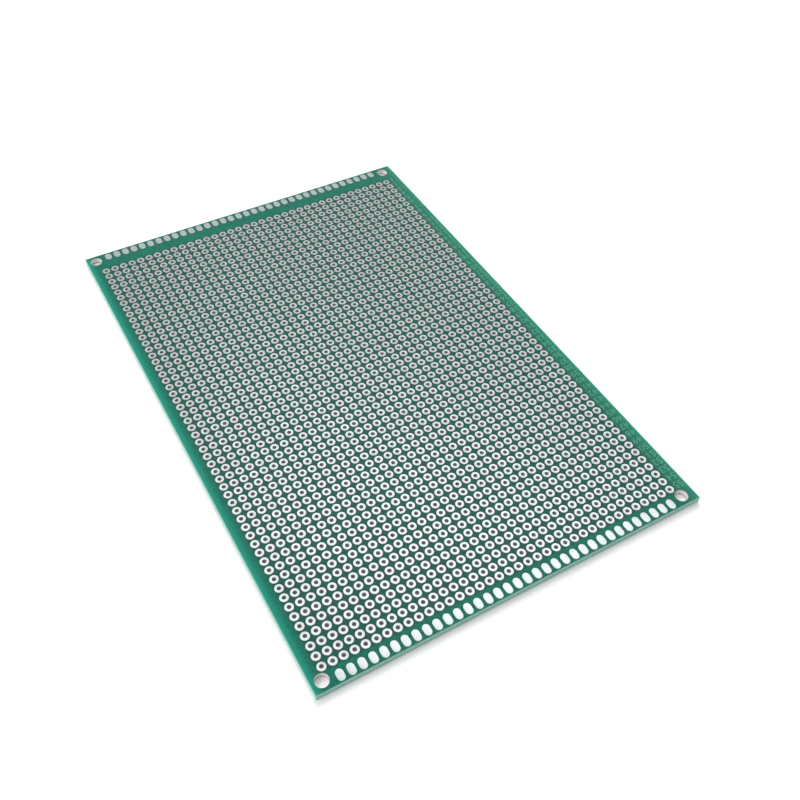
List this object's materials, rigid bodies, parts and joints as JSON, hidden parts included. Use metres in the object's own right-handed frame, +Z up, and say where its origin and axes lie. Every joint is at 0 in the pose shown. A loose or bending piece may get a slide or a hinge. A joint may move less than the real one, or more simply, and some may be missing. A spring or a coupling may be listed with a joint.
{
  "type": "prototype circuit board",
  "caption": "Flat rectangular prototyping circuit board, green on both faces, with a close square grid of tinned plated through holes, oblong end pads and corner mounting holes.",
  "frame": {"origin": "middle of the underside, on the plane of the pads that the board rests on", "axes": "+X across the board towards the edge with the row numbers, +Y along it towards row 1, +Z up through the board"},
  "size_m": [0.1, 0.15, 0.0017],
  "materials": {
    "solder_mask": "satin",
    "tin": "gloss"
  },
  "bodies": {
    "root": {"printed_board": "solder_mask", "top_edge_pads": "tin", "bottom_edge_pads": "tin", "plated_row_1": "tin", "plated_row_2": "tin", "plated_row_3": "tin", "plated_row_4": "tin", "plated_row_5": "tin", "plated_row_6": "tin", "plated_row_7": "tin", "plated_row_8": "tin", "plated_row_9": "tin", "plated_row_10": "tin", "plated_row_11": "tin", "plated_row_12": "tin", "plated_row_13": "tin", "plated_row_14": "tin", "plated_row_15": "tin", "plated_row_16": "tin", "plated_row_17": "tin", "plated_row_18": "tin", "plated_row_19": "tin", "plated_row_20": "tin", "plated_row_21": "tin", "plated_row_22": "tin", "plated_row_23": "tin", "plated_row_24": "tin", "plated_row_25": "tin", "plated_row_26": "tin", "plated_row_27": "tin", "plated_row_28": "tin", "plated_row_29": "tin", "plated_row_30": "tin", "plated_row_31": "tin", "plated_row_32": "tin", "plated_row_33": "tin", "plated_row_34": "tin", "plated_row_35": "tin", "plated_row_36": "tin", "plated_row_37": "tin", "plated_row_38": "tin", "plated_row_39": "tin", "plated_row_40": "tin", "plated_row_41": "tin", "plated_row_42": "tin", "plated_row_43": "tin", "plated_row_44": "tin", "plated_row_45": "tin", "plated_row_46": "tin", "plated_row_47": "tin", "plated_row_48": "tin", "plated_row_49": "tin", "plated_row_50": "tin", "plated_row_51": "tin", "plated_row_52": "tin", "plated_row_53": "tin", "plated_row_54": "tin", "plated_row_55": "tin"}
  },
  "joints": []
}
